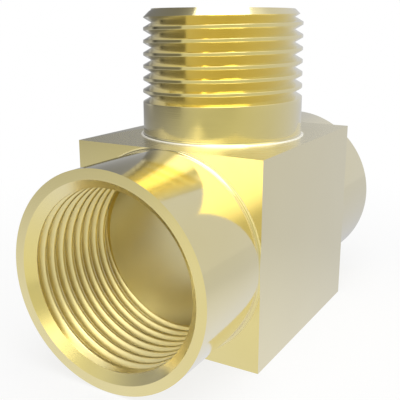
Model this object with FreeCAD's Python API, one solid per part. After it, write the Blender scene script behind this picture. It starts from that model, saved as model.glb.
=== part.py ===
import FreeCAD, Part
import math
import os

# One-piece brass tee. A square block carries a plain round barrel with a tapped port at
# each end of its run, and one male-threaded branch that stands on top of it.
# Frame: +X along the run, +Z up the branch, origin in the middle of the block's flat
# underside. Lengths are in millimetres.

# Square block between the barrels
block_length = 27.3
block_side = 24.4

# Run: a round barrel at each end, drilled through from port to port
run_length = 50.3
barrel_diameter = 24.3
run_bore_diameter = 20.0

# Tapped ports of the run, each bored to its thread's pitch diameter in place of the fine thread
tapped_diameter = 21.0
tapped_length = 14.0
countersink_diameter = 22.0

# Branch, its height measured from the run axis and its plain shank from the block
branch_height = 27.5
branch_bore_diameter = 13.5
shank_diameter = 20.0
shank_length = 4.5
branch_chamfer = 1.0

# Blend where each round part grows out of the block
foot_radius = 0.4
foot_flats = 2

# Male thread, right-handed: its diameter narrows by this share of its length
thread_pitch = 1.5
thread_crest_width = 0.35
thread_flank_angle = math.radians(30)
thread_taper = 1 / 28
thread_turns = 7.75
thread_lead_in = 0.84
runout_turns = 1 / 3

# How far a cutter or a fused ring reaches past the surface it works on
overlap = 0.1

# Worked out from the sizes above
axis_height = block_side / 2
branch_base = block_side
branch_top = axis_height + branch_height
shank_top = branch_base + shank_length
shank_radius = shank_diameter / 2
taper_angle = math.atan(thread_taper / 2)
thread_depth = (thread_pitch - thread_crest_width) / 2 / math.tan(thread_flank_angle)

ORIGIN = FreeCAD.Vector(0, 0, 0)
X_AXIS = FreeCAD.Vector(1, 0, 0)
Y_AXIS = FreeCAD.Vector(0, 1, 0)
Z_AXIS = FreeCAD.Vector(0, 0, 1)


def crest_radius(height):
    """Radius over the branch's thread crests at a height above the block's underside."""
    return shank_radius - (height - shank_top) * math.tan(taper_angle)


def turned(outline):
    """Solid turned about Z from its outline of (radius, height) points."""
    corners = [FreeCAD.Vector(radius, 0, height) for radius, height in outline]
    profile = Part.Face(Part.makePolygon(corners + corners[:1]))
    return profile.revolve(ORIGIN, Z_AXIS, 360)


def along_run(shape, end):
    """The shape, made along +Z from the origin, laid on the run axis towards end 1 or -1."""
    laid = shape.copy()
    laid.rotate(ORIGIN, Y_AXIS, 90 * end)
    laid.translate(Z_AXIS * axis_height)
    return laid


def block(length):
    """Square bar of the block's section, standing on the underside and centred on the branch."""
    corner = FreeCAD.Vector(-length / 2, -block_side / 2, 0)
    return Part.makeBox(length, block_side, block_side, corner)


def foot(radius, height):
    """Ring that blends a round part into the flat that it grows from at this height."""
    hollow_radius = radius + foot_radius
    hollow_height = height + foot_radius
    steps = [math.pi / 2 * step / foot_flats for step in range(foot_flats + 1)]
    hollow = [
        (hollow_radius - foot_radius * math.sin(turn), hollow_height - foot_radius * math.cos(turn))
        for turn in steps
    ]
    inside = [
        (radius - overlap, hollow_height),
        (radius - overlap, height - overlap),
        (hollow_radius, height - overlap),
    ]
    return turned(hollow + inside)


def barrel(end):
    """One end of the run with its blend, which stops at the sides of the square block."""
    tube = Part.makeCylinder(barrel_diameter / 2, run_length / 2)
    blend = along_run(foot(barrel_diameter / 2, block_length / 2), end)
    return along_run(tube, end).fuse(blend.common(block(run_length)))


def branch():
    """Plain shank, tapered thread blank and end chamfer, turned as one, with its blend."""
    chamfer_height = branch_top - branch_chamfer
    outline = [
        (0, axis_height),
        (shank_radius, axis_height),
        (shank_radius, shank_top),
        (crest_radius(chamfer_height), chamfer_height),
        (crest_radius(chamfer_height) - branch_chamfer, branch_top),
        (0, branch_top),
    ]
    return turned(outline).fuse(foot(shank_radius, branch_base))


def port_cutter(end):
    """Drill, tapped bore and 90-degree countersink for one end of the run."""
    bore_radius = run_bore_diameter / 2
    tapped_radius = tapped_diameter / 2
    tapped_end = run_length / 2 - tapped_length
    mouth_radius = countersink_diameter / 2 + overlap
    mouth = run_length / 2 + overlap
    outline = [
        (0, 0),
        (bore_radius, 0),
        (bore_radius, tapped_end),
        (tapped_radius, tapped_end),
        (tapped_radius, mouth - (mouth_radius - tapped_radius)),
        (mouth_radius, mouth),
        (0, mouth),
    ]
    return along_run(turned(outline), end)


def groove_cutter(root_radius, turns, cone_angle):
    """V groove that climbs Z from the origin, its root on a cone that opens as it climbs."""
    helix = Part.makeHelix(
        thread_pitch, turns * thread_pitch, root_radius, math.degrees(cone_angle)
    )
    mouth_radius = root_radius + thread_depth + overlap
    half_mouth = (thread_depth + overlap) * math.tan(thread_flank_angle)
    section = Part.makePolygon([
        FreeCAD.Vector(root_radius, 0, 0),
        FreeCAD.Vector(mouth_radius, 0, half_mouth),
        FreeCAD.Vector(mouth_radius, 0, -half_mouth),
        FreeCAD.Vector(root_radius, 0, 0),
    ])
    return Part.Wire(helix.Edges).makePipeShell([section], True, True)


def male_thread_cutters():
    """Groove of the branch and the run-out that leads it out of the shank, cut downwards."""
    start = branch_top + thread_lead_in
    start_radius = crest_radius(start) - thread_depth
    groove = groove_cutter(start_radius, thread_turns, taper_angle)

    runout_start = thread_turns * thread_pitch
    runout_radius = start_radius + runout_start * math.tan(taper_angle)
    rise = thread_depth + overlap
    runout_angle = math.atan2(rise, runout_turns * thread_pitch)
    runout = groove_cutter(runout_radius, runout_turns, runout_angle)
    runout.rotate(ORIGIN, Z_AXIS, 360 * thread_turns)
    runout.translate(Z_AXIS * runout_start)

    for cutter in (groove, runout):
        cutter.rotate(ORIGIN, X_AXIS, 180)
        cutter.translate(Z_AXIS * start)
    return [groove, runout]


def tee_body():
    """The whole fitting, machined from one piece."""
    branch_bore = Part.makeCylinder(
        branch_bore_diameter / 2, branch_height + overlap, Z_AXIS * axis_height
    )
    blank = block(block_length).fuse([barrel(-1), barrel(1), branch()])
    drilled = blank.cut([port_cutter(-1), port_cutter(1), branch_bore])
    return drilled.cut(male_thread_cutters()).removeSplitter()


os.makedirs("parts", exist_ok=True)
body = tee_body()
body.exportStep("parts/tee_body.step")
print(f"tee_body: {body.Volume:.0f} mm3, {len(body.Solids)} solid, valid {body.isValid()}")
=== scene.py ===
import math

import bpy
from mathutils import Matrix, Vector


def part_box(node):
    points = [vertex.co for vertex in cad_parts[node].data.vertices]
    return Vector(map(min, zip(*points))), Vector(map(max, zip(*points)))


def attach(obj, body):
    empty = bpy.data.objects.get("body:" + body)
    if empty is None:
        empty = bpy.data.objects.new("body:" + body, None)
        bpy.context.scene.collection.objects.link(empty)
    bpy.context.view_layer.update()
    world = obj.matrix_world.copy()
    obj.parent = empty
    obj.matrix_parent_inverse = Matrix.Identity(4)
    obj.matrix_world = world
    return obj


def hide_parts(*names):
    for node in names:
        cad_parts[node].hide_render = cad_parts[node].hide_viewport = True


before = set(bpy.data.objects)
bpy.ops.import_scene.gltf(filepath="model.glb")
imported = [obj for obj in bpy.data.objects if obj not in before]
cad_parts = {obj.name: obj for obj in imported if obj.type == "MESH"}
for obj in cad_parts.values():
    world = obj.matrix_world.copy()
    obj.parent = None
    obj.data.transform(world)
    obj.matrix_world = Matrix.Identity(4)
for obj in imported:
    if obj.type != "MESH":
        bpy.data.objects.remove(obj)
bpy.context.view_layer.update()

# The tee's visible surface is one closed mesh with both threads cut to their true form. It is
# built in millimetres from the frame's box and the sizes below, then scaled to metres.
MM = 0.001

# Sides of a turned surface
SEGMENTS = 256

# How far a cutter or a joined part reaches past the surface it works on, and the small inset
# that keeps two surfaces from lying in one another
OVERLAP = 1.0
INSET = 0.003

# Block and run
low, high = (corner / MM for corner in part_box("tee_body"))
RUN_END = high.x
BLOCK_HALF_LENGTH = 13.65
BLOCK_SIDE = high.y - low.y
AXIS_HEIGHT = BLOCK_SIDE / 2
BARREL_RADIUS = 12.15
RUN_BORE_RADIUS = 10.0
COUNTERSINK_RADIUS = 11.0
COUNTERSINK_DEPTH = COUNTERSINK_RADIUS - RUN_BORE_RADIUS

# Branch, its crests narrowing by this share of the height above its plain shank
BRANCH_TOP = high.z
BRANCH_BORE_RADIUS = 6.75
BRANCH_CHAMFER = 1.0
SHANK_RADIUS = 10.0
SHANK_TOP = BLOCK_SIDE + 4.5
CREST_TAPER = 1 / 56

# Blends where the round parts grow out of the block
FOOT_RADIUS = 0.4
FOOT_STEPS = 6

# Both threads: 60-degree profile, right-handed, with steps in the arc of each crest's edge
PITCH = 1.5
FLANK_ANGLE = math.radians(30)
ARC_STEPS = 3

# Male thread: crest flat and its edge's radius, height of the groove's root at angle zero,
# turns, and the pairs of turn counts between which the groove grows and dies away
MALE_CREST = 0.35
MALE_CREST_ROUND = 0.06
MALE_ROOT_HEIGHT = 28.55
MALE_TURNS = 12
MALE_FADE = ((-1 / 12, 1 / 4), (9.0, 9.5))

# Female threads, measured along the run from the branch's axis: the minor radius is the run
# bore's, and the cutter starts below the height at which the tap stopped
FEMALE_CREST = 0.4
FEMALE_CREST_ROUND = 0.33
FEMALE_ROOT_HEIGHT = 11.09
FEMALE_TURNS = 12
FEMALE_FADE = ((-2.0, -1.0), (8.36, 8.56))
FEMALE_START = 6.1
TAP_END = 11.15

# Edges sharper than this are kept sharp in the shading
SHARP_ANGLE = math.radians(28)


def new_solid(name, points, faces):
    """Mesh object of points and faces, linked to the scene."""
    mesh = bpy.data.meshes.new(name)
    mesh.from_pydata(points, [], faces)
    mesh.update()
    solid = bpy.data.objects.new(name, mesh)
    bpy.context.collection.objects.link(solid)
    return solid


def ring(radius, height):
    """Points of a circle about Z."""
    turns = [2 * math.pi * step / SEGMENTS for step in range(SEGMENTS)]
    return [(radius * math.cos(turn), radius * math.sin(turn), height) for turn in turns]


def turned(name, outline):
    """Solid turned about Z from (radius, height) points that start and end on the axis."""
    points = [(0, 0, outline[0][1])]
    for radius, height in outline[1:-1]:
        points += ring(radius, height)
    points.append((0, 0, outline[-1][1]))
    last = len(points) - 1
    faces = []
    for step in range(SEGMENTS):
        following = (step + 1) % SEGMENTS
        faces.append((0, 1 + following, 1 + step))
        for row in range(len(outline) - 3):
            base = 1 + row * SEGMENTS
            above = base + SEGMENTS
            faces.append((base + step, base + following, above + following, above + step))
        base = last - SEGMENTS
        faces.append((base + step, base + following, last))
    return new_solid(name, points, faces)


def box(name, low_corner, high_corner):
    """Plain box between two corners."""
    (x0, y0, z0), (x1, y1, z1) = low_corner, high_corner
    points = [(x, y, z) for z in (z0, z1) for y in (y0, y1) for x in (x0, x1)]
    faces = [(0, 2, 3, 1), (4, 5, 7, 6), (0, 1, 5, 4), (2, 6, 7, 3), (0, 4, 6, 2), (1, 3, 7, 5)]
    return new_solid(name, points, faces)


def groove_profile(crest_width, crest_round):
    """One pitch of a 60-degree V groove with rounded crests, as (offset from root, depth)."""
    half_mouth = (PITCH - crest_width) / 2
    full_depth = half_mouth / math.tan(FLANK_ANGLE)
    bend = math.pi / 2 - FLANK_ANGLE
    tangent = crest_round * math.tan(bend / 2)
    edge = []
    for step in range(ARC_STEPS + 1):
        turn = bend * step / ARC_STEPS
        offset = half_mouth + tangent - crest_round * math.sin(turn)
        edge.append((offset, crest_round * (1 - math.cos(turn))))
    left = [(-offset, depth) for offset, depth in edge]
    return [(-PITCH / 2, 0.0)] + left + [(0.0, full_depth)] + edge[::-1]


def threaded(name, radius_at, inward, profile, root_height, turns, fade, low_height):
    """Closed solid about Z whose wall carries a helical groove.

    radius_at gives the wall's radius at a height, and inward is 1 where the groove cuts into
    it and -1 where it stands out of it. The groove's root is at root_height at angle zero of
    turn zero. It runs over the given number of turns from turn -1, and its depth grows and
    dies away between the pairs of turn counts in fade. The solid starts at low_height and
    ends above the last turn.
    """
    (grow_start, grow_end), (die_start, die_end) = fade
    columns = []
    for step in range(SEGMENTS):
        share = step / SEGMENTS
        angle = 2 * math.pi * share
        column = []
        for turn in range(-1, turns - 1):
            count = turn + share
            growth = (count - grow_start) / (grow_end - grow_start)
            dying = (die_end - count) / (die_end - die_start)
            strength = min(1.0, max(0.0, min(growth, dying)))
            for offset, depth in profile:
                height = root_height + PITCH * count + offset
                radius = radius_at(height) - inward * depth * strength
                column.append((radius * math.cos(angle), radius * math.sin(angle), height))
        columns.append(column)
    rows = len(columns[0])
    shift = len(profile)
    points = [point for column in columns for point in column]

    def at(step, row):
        return step * rows + row

    low_ring = len(points)
    points += ring(radius_at(low_height), low_height)
    high_height = root_height + PITCH * turns
    high_ring = len(points)
    points += ring(radius_at(high_height), high_height)
    final = SEGMENTS - 1
    top = rows - 1
    faces = []
    for step in range(final):
        after = step + 1
        faces.append((low_ring + step, low_ring + after, at(after, 0), at(step, 0)))
        for row in range(top):
            faces.append((at(step, row), at(after, row), at(after, row + 1), at(step, row + 1)))
        faces.append((at(step, top), at(after, top), high_ring + after, high_ring + step))

    # The last column joins the first one a whole pitch higher
    for row in range(top - shift):
        above = row + shift
        faces.append((at(final, row), at(0, above), at(0, above + 1), at(final, row + 1)))
    seam_low = [at(0, row) for row in range(shift + 1)]
    seam_high = [at(final, row) for row in range(top, top - 1 - shift, -1)]
    faces.append([low_ring + final, low_ring] + seam_low + [at(final, 0)])
    faces.append(seam_high + [at(0, top), high_ring, high_ring + final])
    faces.append([low_ring + step for step in range(final, -1, -1)])
    faces.append([high_ring + step for step in range(SEGMENTS)])
    return new_solid(name, points, faces)


def placed(solid, matrix):
    """The solid moved by a matrix, in its mesh."""
    solid.data.transform(matrix)
    return solid


def along_run(solid, end):
    """The solid, made along +Z from the origin, laid on the run axis towards end 1 or -1."""
    turn = Matrix.Rotation(math.pi / 2 * end, 4, "Y")
    return placed(solid, Matrix.Translation((0, 0, AXIS_HEIGHT)) @ turn)


def applied(solid):
    """The solid with its modifiers turned into its mesh."""
    depsgraph = bpy.context.evaluated_depsgraph_get()
    result = bpy.data.meshes.new_from_object(solid.evaluated_get(depsgraph))
    solid.modifiers.clear()
    solid.data = result
    return solid


def combined(solid, operation, tool):
    """The solid after a boolean operation with a tool, which is used up."""
    modifier = solid.modifiers.new("boolean", "BOOLEAN")
    modifier.operation = operation
    modifier.object = tool
    modifier.solver = "MANIFOLD"
    applied(solid)
    bpy.data.objects.remove(tool)
    return solid


def crest_radius(height):
    """Radius over the branch's thread crests, which narrow towards the free end."""
    return SHANK_RADIUS - max(0.0, height - SHANK_TOP) * CREST_TAPER


def foot_outline(radius, height):
    """Quarter arc from the flat that a round part grows from up to the part's wall."""
    points = []
    for step in range(FOOT_STEPS, -1, -1):
        turn = math.pi / 2 * step / FOOT_STEPS
        reach = radius + FOOT_RADIUS * (1 - math.cos(turn))
        points.append((reach, height + FOOT_RADIUS * (1 - math.sin(turn)) - INSET))
    return points


def barrel(end):
    """One end of the run with its blend, which stops at the sides of the square block."""
    sunk = BLOCK_HALF_LENGTH - OVERLAP
    solid = along_run(turned("barrel", [
        (0, 0),
        (BARREL_RADIUS, 0),
        (BARREL_RADIUS, sunk),
        (BARREL_RADIUS + FOOT_RADIUS, sunk),
        *foot_outline(BARREL_RADIUS, BLOCK_HALF_LENGTH),
        (BARREL_RADIUS, RUN_END),
        (0, RUN_END),
    ]), end)
    reach, half = RUN_END + OVERLAP, BLOCK_SIDE / 2
    return combined(solid, "INTERSECT", box("bar", (-reach, -half, 0), (reach, half, BLOCK_SIDE)))


def branch():
    """Shank and threaded end with its chamfer, and the blend at its foot."""
    solid = threaded(
        "branch", crest_radius, 1, groove_profile(MALE_CREST, MALE_CREST_ROUND),
        MALE_ROOT_HEIGHT, MALE_TURNS, MALE_FADE, AXIS_HEIGHT + OVERLAP,
    )
    chamfer_height = BRANCH_TOP - BRANCH_CHAMFER
    edge_radius = crest_radius(chamfer_height)
    outer_radius = SHANK_RADIUS + OVERLAP
    envelope = turned("envelope", [
        (0, 0),
        (outer_radius, 0),
        (outer_radius, chamfer_height - (outer_radius - edge_radius)),
        (edge_radius - BRANCH_CHAMFER, BRANCH_TOP),
        (0, BRANCH_TOP),
    ])
    solid = combined(solid, "INTERSECT", envelope)
    sunk = BLOCK_SIDE - OVERLAP
    foot = foot_outline(SHANK_RADIUS, BLOCK_SIDE)
    foot_top = foot[-1][1]
    return combined(solid, "UNION", turned("branch_foot", [
        (0, sunk),
        (SHANK_RADIUS + FOOT_RADIUS, sunk),
        *foot,
        (SHANK_RADIUS - OVERLAP, foot_top),
        (0, foot_top),
    ]))


def port_cutter():
    """Helical thread of one port, cut as if the run axis were Z."""
    cutter = threaded(
        "port_cutter", lambda height: RUN_BORE_RADIUS, -1,
        groove_profile(FEMALE_CREST, FEMALE_CREST_ROUND),
        FEMALE_ROOT_HEIGHT, FEMALE_TURNS, FEMALE_FADE, FEMALE_START,
    )
    reach = turned("tap_reach", [
        (0, TAP_END),
        (COUNTERSINK_RADIUS + OVERLAP, TAP_END),
        (COUNTERSINK_RADIUS + OVERLAP, RUN_END + OVERLAP),
        (0, RUN_END + OVERLAP),
    ])
    return combined(cutter, "INTERSECT", reach)


def countersink():
    """Cone that opens each port's mouth at 45 degrees."""
    mouth = RUN_END + OVERLAP
    bottom = RUN_END - COUNTERSINK_DEPTH - OVERLAP
    return turned("countersink", [
        (0, bottom),
        (RUN_BORE_RADIUS - OVERLAP, bottom),
        (COUNTERSINK_RADIUS + OVERLAP, mouth),
        (0, mouth),
    ])


def tee_mesh():
    """The whole fitting as one closed mesh."""
    half = BLOCK_SIDE / 2
    solid = box("tee", (-BLOCK_HALF_LENGTH, -half, 0), (BLOCK_HALF_LENGTH, half, BLOCK_SIDE))
    for part in (barrel(-1), barrel(1), branch()):
        solid = combined(solid, "UNION", part)
    through = along_run(turned("through", [
        (0, -AXIS_HEIGHT),
        (RUN_BORE_RADIUS - INSET, -AXIS_HEIGHT),
        (RUN_BORE_RADIUS - INSET, AXIS_HEIGHT),
        (0, AXIS_HEIGHT),
    ]), 1)
    for end in (-1, 1):
        through = combined(through, "UNION", along_run(port_cutter(), end))
        through = combined(through, "UNION", along_run(countersink(), end))
    branch_bore = turned("branch_bore", [
        (0, AXIS_HEIGHT),
        (BRANCH_BORE_RADIUS, AXIS_HEIGHT),
        (BRANCH_BORE_RADIUS, BRANCH_TOP + OVERLAP),
        (0, BRANCH_TOP + OVERLAP),
    ])
    solid = combined(solid, "DIFFERENCE", combined(through, "UNION", branch_bore))

    # Shading follows the large faces, which needs their areas in square millimetres
    solid.data.shade_smooth()
    solid.data.set_sharp_from_angle(angle=SHARP_ANGLE)
    weighted = solid.modifiers.new("weighted_normals", "WEIGHTED_NORMAL")
    weighted.keep_sharp = True
    return placed(applied(solid), Matrix.Scale(MM, 4))


tee = tee_mesh()
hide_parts("tee_body")
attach(tee, "root")


def computed(tree, operation, *values, kind="ShaderNodeMath"):
    """Value of a math node, whose inputs are sockets of other nodes or constants."""
    node = tree.nodes.new(kind)
    node.operation = operation
    for socket, value in zip(node.inputs, values):
        if isinstance(value, bpy.types.NodeSocket):
            tree.links.new(value, socket)
        else:
            socket.default_value = value
    return node.outputs["Value"]


def measured(tree, operation, *vectors):
    """Value of a vector math node such as a length, a distance or a dot product."""
    return computed(tree, operation, *vectors, kind="ShaderNodeVectorMath")


def eased(tree, value, start, end):
    """Value that rises smoothly from 0 at start to 1 at end."""
    ease = tree.nodes.new("ShaderNodeMapRange")
    ease.interpolation_type = "SMOOTHSTEP"
    ease.inputs["From Min"].default_value = start
    ease.inputs["From Max"].default_value = end
    tree.links.new(value, ease.inputs["Value"])
    return ease.outputs["Result"]


def axes(tree, place):
    """X, Y and Z of a coordinate."""
    split = tree.nodes.new("ShaderNodeSeparateXYZ")
    tree.links.new(place, split.inputs[0])
    return tuple(split.outputs)


# Noise in the metal: a broad mottle, and the fine marks of the tool, which are stretched
# along X on drawn stock
MOTTLE_SCALE = 140
MOTTLE_DETAIL = 3
MARK_SCALE = 5000
MARK_DETAIL = 4
MARK_ROUGHNESS = 0.6
DRAWN_STRETCH = (0.02, 1, 1)

# Range that most values of a noise lie in, and the share of each noise in the roughness
NOISE_LOW = 0.3
NOISE_HIGH = 0.7
NOISE_SHARE = 0.5

# Blend of the layer weight that turns the metal to its glancing tone
EDGE_BLEND = 0.4


def across_marks(tree, place, axis):
    """Coordinate that changes across the tool marks of a face turned about an axis."""
    x, y, z = axes(tree, place)
    if axis == "X":
        along, side, rise = x, y, computed(tree, "SUBTRACT", z, AXIS_HEIGHT * MM)
    else:
        along, side, rise = z, x, y
    flat = tree.nodes.new("ShaderNodeCombineXYZ")
    tree.links.new(side, flat.inputs["X"])
    tree.links.new(rise, flat.inputs["Y"])
    return computed(tree, "ADD", along, measured(tree, "LENGTH", flat.outputs["Vector"]))


def brass(name, axis, roughness, tones, glancing, relief):
    """Polished brass with the marks of its machining.

    axis is the one the surface was turned about, or None for drawn stock with lines along X.
    roughness is its least and most, tones the two tones of the metal seen straight on,
    glancing its tone at a low angle, and relief the depth of the tool marks in millimetres.
    """
    material = bpy.data.materials.new(name)
    material.use_nodes = True
    tree = material.node_tree
    nodes, links = tree.nodes, tree.links
    shader = nodes["Principled BSDF"]
    shader.inputs["Metallic"].default_value = 1.0
    place = nodes.new("ShaderNodeTexCoord").outputs["Object"]

    mottle = nodes.new("ShaderNodeTexNoise")
    mottle.inputs["Scale"].default_value = MOTTLE_SCALE
    mottle.inputs["Detail"].default_value = MOTTLE_DETAIL
    links.new(place, mottle.inputs["Vector"])

    marks = nodes.new("ShaderNodeTexNoise")
    marks.inputs["Scale"].default_value = MARK_SCALE
    marks.inputs["Detail"].default_value = MARK_DETAIL
    marks.inputs["Roughness"].default_value = MARK_ROUGHNESS
    if axis:
        marks.noise_dimensions = "1D"
        links.new(across_marks(tree, place, axis), marks.inputs["W"])
    else:
        stretch = nodes.new("ShaderNodeMapping")
        stretch.inputs["Scale"].default_value = DRAWN_STRETCH
        links.new(place, stretch.inputs["Vector"])
        links.new(stretch.outputs["Vector"], marks.inputs["Vector"])

    ramp = nodes.new("ShaderNodeValToRGB")
    stops = ramp.color_ramp.elements
    for stop, position, tone in zip(stops, (NOISE_LOW, NOISE_HIGH), tones):
        stop.position = position
        stop.color = (*tone, 1)
    links.new(mottle.outputs["Fac"], ramp.inputs["Fac"])

    edge = nodes.new("ShaderNodeLayerWeight")
    edge.inputs["Blend"].default_value = EDGE_BLEND
    reflectance = nodes.new("ShaderNodeMix")
    reflectance.data_type = "RGBA"
    links.new(edge.outputs["Facing"], reflectance.inputs["Factor"])
    links.new(ramp.outputs["Color"], reflectance.inputs["A"])
    reflectance.inputs["B"].default_value = (*glancing, 1)
    links.new(reflectance.outputs["Result"], shader.inputs["Base Color"])

    blotches = computed(tree, "MULTIPLY", mottle.outputs["Fac"], NOISE_SHARE)
    wear = computed(tree, "MULTIPLY_ADD", marks.outputs["Fac"], NOISE_SHARE, blotches)
    smear = nodes.new("ShaderNodeMapRange")
    smear.inputs["From Min"].default_value = NOISE_LOW
    smear.inputs["From Max"].default_value = NOISE_HIGH
    smear.inputs["To Min"].default_value, smear.inputs["To Max"].default_value = roughness
    links.new(wear, smear.inputs["Value"])
    links.new(smear.outputs["Result"], shader.inputs["Roughness"])

    bump = nodes.new("ShaderNodeBump")
    bump.inputs["Distance"].default_value = relief * MM
    links.new(marks.outputs["Fac"], bump.inputs["Height"])
    links.new(bump.outputs["Normal"], shader.inputs["Normal"])
    return material


# Pairs of tones of the metal: outer surfaces; bores, made lighter as painted light that stands in
# for light inside them; threads of the ports, lighter in the same way, whose tones also paint the
# highlight on the blends of the barrels; and pale tones that paint the highlight on the blend of
# the branch
OUTER_TONES = ((0.93, 0.775, 0.25), (0.97, 0.82, 0.285))
LIGHTENED_BORE_TONES = ((1.0, 0.88, 0.42), (1.0, 0.9, 0.47))
LIGHTENED_TAP_TONES = ((1.0, 0.85, 0.36), (1.0, 0.875, 0.4))
PAINTED_HIGHLIGHT_TONES = ((0.98, 0.93, 0.72), (1.0, 0.97, 0.82))

# Its tone at a low angle, outside and inside
OUTER_GLANCING = (0.97, 0.96, 0.93)
INNER_GLANCING = (1.0, 0.95, 0.78)

# Roughness of the polished outer surfaces
POLISH = (0.09, 0.15)

FINISHES = [
    brass("brass_drawn", None, POLISH, OUTER_TONES, OUTER_GLANCING, relief=0.0004),
    brass("brass_turned_run", "X", POLISH, OUTER_TONES, OUTER_GLANCING, relief=0.002),
    brass("brass_turned_branch", "Z", POLISH, OUTER_TONES, OUTER_GLANCING, relief=0.002),
    # The bores and the ports' threads have lighter tones: painted light that stands in for light
    # reaching inside them
    brass("brass_bored_run_painted_light", "X", (0.3, 0.34), LIGHTENED_BORE_TONES, INNER_GLANCING, relief=0.0006),
    brass("brass_bored_branch_painted_light", "Z", (0.24, 0.32), LIGHTENED_BORE_TONES, INNER_GLANCING, relief=0.003),
    brass("brass_tapped_painted_light", "X", (0.33, 0.38), LIGHTENED_TAP_TONES, INNER_GLANCING, relief=0.0006),
    brass("brass_countersunk", "X", (0.17, 0.22), OUTER_TONES, OUTER_GLANCING, relief=0.0006),
    # The blends' finishes are painted highlights: pale, rough strips that stand in for the bright
    # line where each blend meets the block
    brass("brass_foot_run_painted_highlight", "X", (0.45, 0.55), LIGHTENED_TAP_TONES, OUTER_GLANCING, relief=0.001),
    brass("brass_foot_branch_painted_highlight", "Z", (0.6, 0.7), PAINTED_HIGHLIGHT_TONES, OUTER_GLANCING, relief=0.002),
]
(
    DRAWN, TURNED_RUN, TURNED_BRANCH, LIGHTENED_BORED_RUN, LIGHTENED_BORED_BRANCH, LIGHTENED_TAPPED, COUNTERSUNK,
    RUN_FOOT_HIGHLIGHT, BRANCH_FOOT_HIGHLIGHT,
) = range(len(FINISHES))

# How far a face's middle may lie outside the radius of the wall it belongs to, and how far up
# each blend its painted highlight goes, a pale, rough strip
NEAR = 0.02
RUN_FOOT_HIGHLIGHT_HEIGHT = 0.06
BRANCH_FOOT_HIGHLIGHT_HEIGHT = 0.12


def finish_of(centre):
    """Which finish a face has, from its middle in millimetres."""
    from_run = math.hypot(centre.y, centre.z - AXIS_HEIGHT)
    from_branch = math.hypot(centre.x, centre.y)
    above_block = centre.z - BLOCK_SIDE
    past_block = abs(centre.x) - BLOCK_HALF_LENGTH
    # Faces in the bores and the ports' threads take tones lightened as painted light
    if from_branch < BRANCH_BORE_RADIUS + NEAR and centre.z > AXIS_HEIGHT:
        return LIGHTENED_BORED_BRANCH
    # The lowest strip of each blend takes the pale finish of the painted highlight
    if above_block > 0:
        return BRANCH_FOOT_HIGHLIGHT if above_block < BRANCH_FOOT_HIGHLIGHT_HEIGHT else TURNED_BRANCH
    if from_run < RUN_BORE_RADIUS + NEAR:
        return LIGHTENED_BORED_RUN
    if from_run < COUNTERSINK_RADIUS + NEAR:
        return LIGHTENED_TAPPED if abs(centre.x) < RUN_END - COUNTERSINK_DEPTH else COUNTERSUNK
    if past_block > 0:
        return RUN_FOOT_HIGHLIGHT if past_block < RUN_FOOT_HIGHLIGHT_HEIGHT else TURNED_RUN
    return DRAWN


tee.data.materials.clear()
for finish in FINISHES:
    tee.data.materials.append(finish)
for face in tee.data.polygons:
    face.material_index = finish_of(face.center / MM)

# Floor, in metres, just below the part
FLOOR_SIZE = 0.5
FLOOR_HEIGHT = -0.00002
FLOOR_COLOUR = (0.8, 0.8, 0.8, 1)

# The camera sees this share of the floor as plain white, and all of it as white between
# these distances from the part, so that a faint shadow stays
WHITE_SHARE = 0.8
SHADOW_FADE = (0.03, 0.09)

# Brightness of the floor in the metal, which is painted light: a painted pool of light before the
# near port, and how much darker the ground gets beyond the pool, towards the back and towards
# the far left
FLOOR_GLOW_LEVEL = 0.77
POOL_CENTRE = (-0.05, -0.01, 0)
POOL_FADE, POOL_DROP = (0.02, 0.09), 0.18
BACK_FADE, BACK_DROP = (0.03, 0.21), 0.34
LEFT_FADE, LEFT_DROP = (-0.13, -0.21), 0.13

# Brightness of the room in the metal, and what a dark wall, a light at the side, a weaker one
# in front and a low dark screen change in it
ROOM_LEVEL = 0.63
DARK_WALL = -0.45
SIDE_LIGHT = 1.2
FRONT_LIGHT = 0.55
LOW_SCREEN = -0.46

# Upward parts of the directions between which the light at the side fades in above the ground
# and out below the ceiling, and between which the low screen ends
SIDE_LIGHT_FOOT = (0.12, 0.3)
SIDE_LIGHT_TOP = (0.74, 0.56)
SCREEN_TOP = (0.14, 0.05)


def shown_to(tree, *rays):
    """Value that is 1 for the named kinds of ray."""
    path = tree.nodes.new("ShaderNodeLightPath")
    total = path.outputs[rays[0]]
    for name in rays[1:]:
        total = computed(tree, "MAXIMUM", total, path.outputs[name])
    return total


def mixed(tree, factor, first, second):
    """Shader that goes from the first to the second as a factor goes from 0 to 1."""
    mix = tree.nodes.new("ShaderNodeMixShader")
    for socket, source in zip(mix.inputs, (factor, first, second)):
        tree.links.new(source, socket)
    return mix.outputs[0]


def changed(tree, level, changes):
    """Level after changes, each a factor and the amount that it adds where it is 1."""
    for factor, amount in changes:
        level = computed(tree, "MULTIPLY_ADD", factor, amount, level)
    return level


def direction(azimuth, elevation):
    """Unit vector towards an azimuth, 0 at -Y and 90 at +X, and an elevation, in degrees."""
    turn, rise = math.radians(azimuth), math.radians(elevation)
    flat = math.cos(rise)
    return Vector((math.sin(turn) * flat, -math.cos(turn) * flat, math.sin(rise)))


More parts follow.
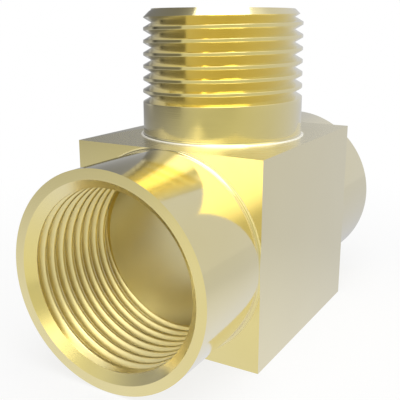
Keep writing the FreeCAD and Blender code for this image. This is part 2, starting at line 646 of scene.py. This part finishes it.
def floor():
    """White floor that keeps a faint shadow and shows in the metal as a glowing ground, a painted
    pool of light.
    """
    half = FLOOR_SIZE / 2
    corners = ((-half, -half), (half, -half), (half, half), (-half, half))
    plane = new_solid("floor", [(x, y, FLOOR_HEIGHT) for x, y in corners], [(0, 1, 2, 3)])
    material = bpy.data.materials.new("floor")
    material.use_nodes = True
    tree = material.node_tree
    nodes, links = tree.nodes, tree.links
    nodes.clear()
    output = nodes.new("ShaderNodeOutputMaterial")
    ground = nodes.new("ShaderNodeBsdfDiffuse")
    ground.inputs["Color"].default_value = FLOOR_COLOUR
    place = nodes.new("ShaderNodeTexCoord").outputs["Object"]

    cleared = eased(tree, measured(tree, "LENGTH", place), *SHADOW_FADE)
    whiteness = changed(tree, WHITE_SHARE, [(cleared, 1 - WHITE_SHARE)])
    white = nodes.new("ShaderNodeEmission")
    seen = mixed(tree, whiteness, ground.outputs[0], white.outputs[0])

    x, y, _ = axes(tree, place)
    beyond_pool = eased(tree, measured(tree, "DISTANCE", place, POOL_CENTRE), *POOL_FADE)
    behind = eased(tree, y, *BACK_FADE)
    far_left = eased(tree, x, *LEFT_FADE)
    # Painted pool of light: the floor glows for glossy rays, brightest before the near port
    painted_floor_light = nodes.new("ShaderNodeEmission")
    links.new(changed(tree, FLOOR_GLOW_LEVEL, [
        (beyond_pool, -POOL_DROP),
        (behind, -BACK_DROP),
        (far_left, -LEFT_DROP),
    ]), painted_floor_light.inputs["Strength"])

    glossy = shown_to(tree, "Is Glossy Ray", "Is Transmission Ray")
    by_gloss = mixed(tree, glossy, ground.outputs[0], painted_floor_light.outputs[0])
    by_eye = mixed(tree, shown_to(tree, "Is Camera Ray"), by_gloss, seen)
    links.new(by_eye, output.inputs["Surface"])
    plane.data.materials.append(material)


def glow(tree, place, azimuth, elevation, start, end):
    """Value that is 1 towards a direction, its edge given by two cosines from that direction."""
    cosine = measured(tree, "DOT_PRODUCT", place, direction(azimuth, elevation))
    return eased(tree, cosine, start, end)


def studio():
    """Pale grey room with soft lights, which the camera sees as plain white."""
    world = bpy.data.worlds.new("studio")
    bpy.context.scene.world = world
    world.use_nodes = True
    tree = world.node_tree
    nodes, links = tree.nodes, tree.links
    place = nodes.new("ShaderNodeTexCoord").outputs["Generated"]
    height = axes(tree, place)[2]

    dark_wall = glow(tree, place, azimuth=155, elevation=35, start=0.58, end=0.94)
    front_light = glow(tree, place, azimuth=3, elevation=52, start=0.8, end=0.98)

    side_light = glow(tree, place, azimuth=-88, elevation=33, start=0.79, end=1.0)
    side_light = computed(tree, "MULTIPLY", side_light, eased(tree, height, *SIDE_LIGHT_FOOT))
    side_light = computed(tree, "MULTIPLY", side_light, eased(tree, height, *SIDE_LIGHT_TOP))

    # The low screen at the left ends at a sharp upright edge
    screen = glow(tree, place, azimuth=-140, elevation=-3, start=0.7, end=0.85)
    screen = computed(tree, "MULTIPLY", screen, eased(tree, height, *SCREEN_TOP))
    beyond_edge = glow(tree, place, azimuth=150, elevation=0, start=0.0, end=0.03)
    screen = computed(tree, "MULTIPLY", screen, beyond_edge)

    level = nodes.new("ShaderNodeMix")
    level.data_type = "RGBA"
    links.new(shown_to(tree, "Is Camera Ray"), level.inputs["Factor"])
    links.new(changed(tree, ROOM_LEVEL, [
        (dark_wall, DARK_WALL),
        (side_light, SIDE_LIGHT),
        (front_light, FRONT_LIGHT),
        (screen, LOW_SCREEN),
    ]), level.inputs["A"])
    level.inputs["B"].default_value = (1, 1, 1, 1)
    links.new(level.outputs["Result"], nodes["Background"].inputs["Color"])


def softbox(name, azimuth, elevation, distance, width, height, watts):
    """Area light that faces the run's axis from a direction."""
    away = direction(azimuth, elevation)
    data = bpy.data.lights.new(name, "AREA")
    data.shape = "RECTANGLE"
    data.size = width
    data.size_y = height
    data.energy = watts
    lamp = bpy.data.objects.new(name, data)
    bpy.context.collection.objects.link(lamp)
    lamp.location = Vector((0, 0, AXIS_HEIGHT * MM)) + away * distance
    lamp.rotation_mode = "QUATERNION"
    lamp.rotation_quaternion = away.to_track_quat("Z", "Y")


def photo_camera(location, azimuth, elevation, lens, sensor_width, clip_start):
    """Camera that looks back along a direction, as the photo's camera does."""
    data = bpy.data.cameras.new("camera")
    data.lens = lens
    data.sensor_width = sensor_width
    data.clip_start = clip_start
    camera = bpy.data.objects.new("camera", data)
    bpy.context.collection.objects.link(camera)
    camera.location = location
    camera.rotation_mode = "QUATERNION"
    camera.rotation_quaternion = (-direction(azimuth, elevation)).to_track_quat("-Z", "Y")
    return camera


floor()
studio()
softbox("overhead", azimuth=-54, elevation=74, distance=0.5, width=0.37, height=0.5, watts=1.48)
bpy.context.scene.camera = photo_camera(
    (-0.074212, -0.040014, 0.038072), azimuth=-59.741, elevation=15.067,
    lens=59.36, sensor_width=36, clip_start=0.001,
)
bpy.context.scene.view_settings.view_transform = "Standard"
